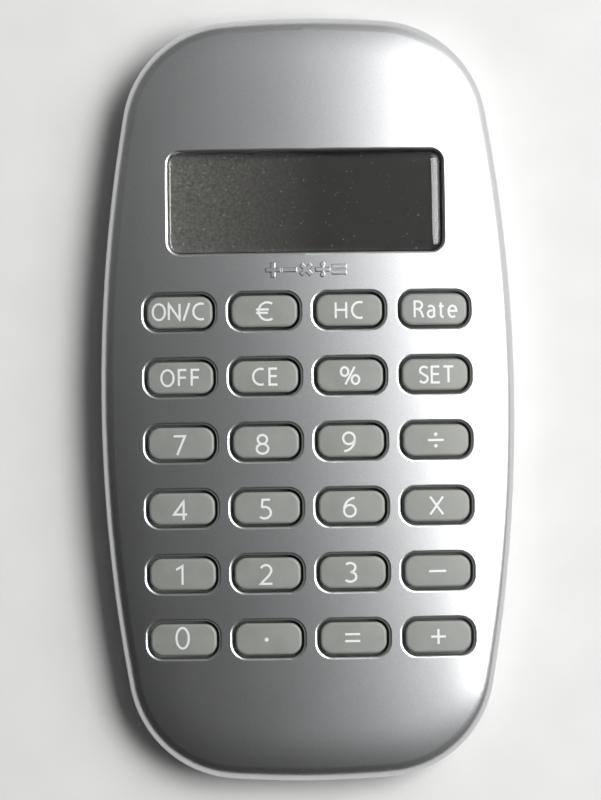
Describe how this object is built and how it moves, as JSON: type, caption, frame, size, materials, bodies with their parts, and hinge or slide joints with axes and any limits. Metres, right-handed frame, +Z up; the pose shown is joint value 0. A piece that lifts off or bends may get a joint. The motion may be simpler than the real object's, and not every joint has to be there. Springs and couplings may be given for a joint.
{
  "type": "desk calculator",
  "caption": "Slim hand and desk calculator with a barrelled silver case, a dark display window and a keypad of domed oblong keys.",
  "frame": {"origin": "under the middle of the case, on the plane that the four feet stand on", "axes": "+X to the right of the keypad, +Y towards the display end, +Z up out of the keys"},
  "size_m": [0.0678, 0.125, 0.0107],
  "materials": {
    "case_silver": "satin",
    "key_grey": "satin",
    "legend_ink": "matte",
    "window_clear": "polished",
    "adhesive_black": "matte",
    "foam_black": "matte",
    "polariser_dark": "satin",
    "display_glass": "polished",
    "reflector_grey": "satin",
    "plastic_white": "matte",
    "rubber_pink": "matte",
    "contact_gold": "polished",
    "board_green": "satin",
    "epoxy_black": "polished",
    "ceramic_tan": "matte",
    "rubber_grey": "matte",
    "rubber_black": "matte",
    "cell_steel": "satin",
    "contact_steel": "polished",
    "screw_steel": "satin"
  },
  "bodies": {
    "case": {"front_cover": "case_silver", "rear_cover": "case_silver", "display_window": "window_clear", "window_adhesive": "adhesive_black", "display_gasket": "foam_black", "lcd_front_polariser": "polariser_dark", "lcd_front_glass": "display_glass", "lcd_rear_glass": "display_glass", "lcd_rear_polariser": "reflector_grey", "lcd_holder": "plastic_white", "zebra_connector": "rubber_pink", "display_contact_pads": "contact_gold", "circuit_board": "board_green", "key_contact_pads": "contact_gold", "processor_blob": "epoxy_black", "chip_capacitors": "ceramic_tan", "keypad_membrane": "rubber_grey", "contact_pills": "rubber_black", "battery_cell": "cell_steel", "battery_holder": "plastic_white", "battery_contact_negative": "contact_steel", "battery_contact_positive": "contact_steel", "case_screws": "screw_steel", "board_screws": "screw_steel", "foot_front_left": "rubber_black", "foot_front_right": "rubber_black", "foot_back_left": "rubber_black", "foot_back_right": "rubber_black"},
    "key_on_clear": {"key_on_clear": "key_grey"},
    "key_euro": {"key_euro": "key_grey"},
    "key_home_currency": {"key_home_currency": "key_grey"},
    "key_rate": {"key_rate": "key_grey"},
    "key_off": {"key_off": "key_grey"},
    "key_clear_entry": {"key_clear_entry": "key_grey"},
    "key_percent": {"key_percent": "key_grey"},
    "key_set": {"key_set": "key_grey"},
    "key_7": {"key_7": "key_grey"},
    "key_8": {"key_8": "key_grey"},
    "key_9": {"key_9": "key_grey"},
    "key_divide": {"key_divide": "key_grey"},
    "key_4": {"key_4": "key_grey"},
    "key_5": {"key_5": "key_grey"},
    "key_6": {"key_6": "key_grey"},
    "key_multiply": {"key_multiply": "key_grey"},
    "key_1": {"key_1": "key_grey"},
    "key_2": {"key_2": "key_grey"},
    "key_3": {"key_3": "key_grey"},
    "key_minus": {"key_minus": "key_grey"},
    "key_0": {"key_0": "key_grey"},
    "key_point": {"key_point": "key_grey"},
    "key_equals": {"key_equals": "key_grey"},
    "key_plus": {"key_plus": "key_grey"},
    "battery_door": {"battery_door": "case_silver"}
  },
  "joints": [
    {"name": "key_on_clear_press", "type": "slide", "parent": "case", "child": "key_on_clear", "axis": [0, 0, -1], "range_m": [0, 0.0008], "stiffness_N_per_m": 700, "springref_m": -0.0003, "deforming": ["keypad_membrane", "contact_pills"]},
    {"name": "key_euro_press", "type": "slide", "parent": "case", "child": "key_euro", "axis": [0, 0, -1], "range_m": [0, 0.0008], "stiffness_N_per_m": 700, "springref_m": -0.0003, "deforming": ["keypad_membrane", "contact_pills"]},
    {"name": "key_home_currency_press", "type": "slide", "parent": "case", "child": "key_home_currency", "axis": [0, 0, -1], "range_m": [0, 0.0008], "stiffness_N_per_m": 700, "springref_m": -0.0003, "deforming": ["keypad_membrane", "contact_pills"]},
    {"name": "key_rate_press", "type": "slide", "parent": "case", "child": "key_rate", "axis": [0, 0, -1], "range_m": [0, 0.0008], "stiffness_N_per_m": 700, "springref_m": -0.0003, "deforming": ["keypad_membrane", "contact_pills"]},
    {"name": "key_off_press", "type": "slide", "parent": "case", "child": "key_off", "axis": [0, 0, -1], "range_m": [0, 0.0008], "stiffness_N_per_m": 700, "springref_m": -0.0003, "deforming": ["keypad_membrane", "contact_pills"]},
    {"name": "key_clear_entry_press", "type": "slide", "parent": "case", "child": "key_clear_entry", "axis": [0, 0, -1], "range_m": [0, 0.0008], "stiffness_N_per_m": 700, "springref_m": -0.0003, "deforming": ["keypad_membrane", "contact_pills"]},
    {"name": "key_percent_press", "type": "slide", "parent": "case", "child": "key_percent", "axis": [0, 0, -1], "range_m": [0, 0.0008], "stiffness_N_per_m": 700, "springref_m": -0.0003, "deforming": ["keypad_membrane", "contact_pills"]},
    {"name": "key_set_press", "type": "slide", "parent": "case", "child": "key_set", "axis": [0, 0, -1], "range_m": [0, 0.0008], "stiffness_N_per_m": 700, "springref_m": -0.0003, "deforming": ["keypad_membrane", "contact_pills"]},
    {"name": "key_7_press", "type": "slide", "parent": "case", "child": "key_7", "axis": [0, 0, -1], "range_m": [0, 0.0008], "stiffness_N_per_m": 700, "springref_m": -0.0003, "deforming": ["keypad_membrane", "contact_pills"]},
    {"name": "key_8_press", "type": "slide", "parent": "case", "child": "key_8", "axis": [0, 0, -1], "range_m": [0, 0.0008], "stiffness_N_per_m": 700, "springref_m": -0.0003, "deforming": ["keypad_membrane", "contact_pills"]},
    {"name": "key_9_press", "type": "slide", "parent": "case", "child": "key_9", "axis": [0, 0, -1], "range_m": [0, 0.0008], "stiffness_N_per_m": 700, "springref_m": -0.0003, "deforming": ["keypad_membrane", "contact_pills"]},
    {"name": "key_divide_press", "type": "slide", "parent": "case", "child": "key_divide", "axis": [0, 0, -1], "range_m": [0, 0.0008], "stiffness_N_per_m": 700, "springref_m": -0.0003, "deforming": ["keypad_membrane", "contact_pills"]},
    {"name": "key_4_press", "type": "slide", "parent": "case", "child": "key_4", "axis": [0, 0, -1], "range_m": [0, 0.0008], "stiffness_N_per_m": 700, "springref_m": -0.0003, "deforming": ["keypad_membrane", "contact_pills"]},
    {"name": "key_5_press", "type": "slide", "parent": "case", "child": "key_5", "axis": [0, 0, -1], "range_m": [0, 0.0008], "stiffness_N_per_m": 700, "springref_m": -0.0003, "deforming": ["keypad_membrane", "contact_pills"]},
    {"name": "key_6_press", "type": "slide", "parent": "case", "child": "key_6", "axis": [0, 0, -1], "range_m": [0, 0.0008], "stiffness_N_per_m": 700, "springref_m": -0.0003, "deforming": ["keypad_membrane", "contact_pills"]},
    {"name": "key_multiply_press", "type": "slide", "parent": "case", "child": "key_multiply", "axis": [0, 0, -1], "range_m": [0, 0.0008], "stiffness_N_per_m": 700, "springref_m": -0.0003, "deforming": ["keypad_membrane", "contact_pills"]},
    {"name": "key_1_press", "type": "slide", "parent": "case", "child": "key_1", "axis": [0, 0, -1], "range_m": [0, 0.0008], "stiffness_N_per_m": 700, "springref_m": -0.0003, "deforming": ["keypad_membrane", "contact_pills"]},
    {"name": "key_2_press", "type": "slide", "parent": "case", "child": "key_2", "axis": [0, 0, -1], "range_m": [0, 0.0008], "stiffness_N_per_m": 700, "springref_m": -0.0003, "deforming": ["keypad_membrane", "contact_pills"]},
    {"name": "key_3_press", "type": "slide", "parent": "case", "child": "key_3", "axis": [0, 0, -1], "range_m": [0, 0.0008], "stiffness_N_per_m": 700, "springref_m": -0.0003, "deforming": ["keypad_membrane", "contact_pills"]},
    {"name": "key_minus_press", "type": "slide", "parent": "case", "child": "key_minus", "axis": [0, 0, -1], "range_m": [0, 0.0008], "stiffness_N_per_m": 700, "springref_m": -0.0003, "deforming": ["keypad_membrane", "contact_pills"]},
    {"name": "key_0_press", "type": "slide", "parent": "case", "child": "key_0", "axis": [0, 0, -1], "range_m": [0, 0.0008], "stiffness_N_per_m": 700, "springref_m": -0.0003, "deforming": ["keypad_membrane", "contact_pills"]},
    {"name": "key_point_press", "type": "slide", "parent": "case", "child": "key_point", "axis": [0, 0, -1], "range_m": [0, 0.0008], "stiffness_N_per_m": 700, "springref_m": -0.0003, "deforming": ["keypad_membrane", "contact_pills"]},
    {"name": "key_equals_press", "type": "slide", "parent": "case", "child": "key_equals", "axis": [0, 0, -1], "range_m": [0, 0.0008], "stiffness_N_per_m": 700, "springref_m": -0.0003, "deforming": ["keypad_membrane", "contact_pills"]},
    {"name": "key_plus_press", "type": "slide", "parent": "case", "child": "key_plus", "axis": [0, 0, -1], "range_m": [0, 0.0008], "stiffness_N_per_m": 700, "springref_m": -0.0003, "deforming": ["keypad_membrane", "contact_pills"]},
    {"name": "battery_door_turn", "type": "hinge", "parent": "case", "child": "battery_door", "pos_m": [0, 0.0513, 0.0019], "axis": [0, 0, 1], "range_deg": [0, 55]}
  ]
}
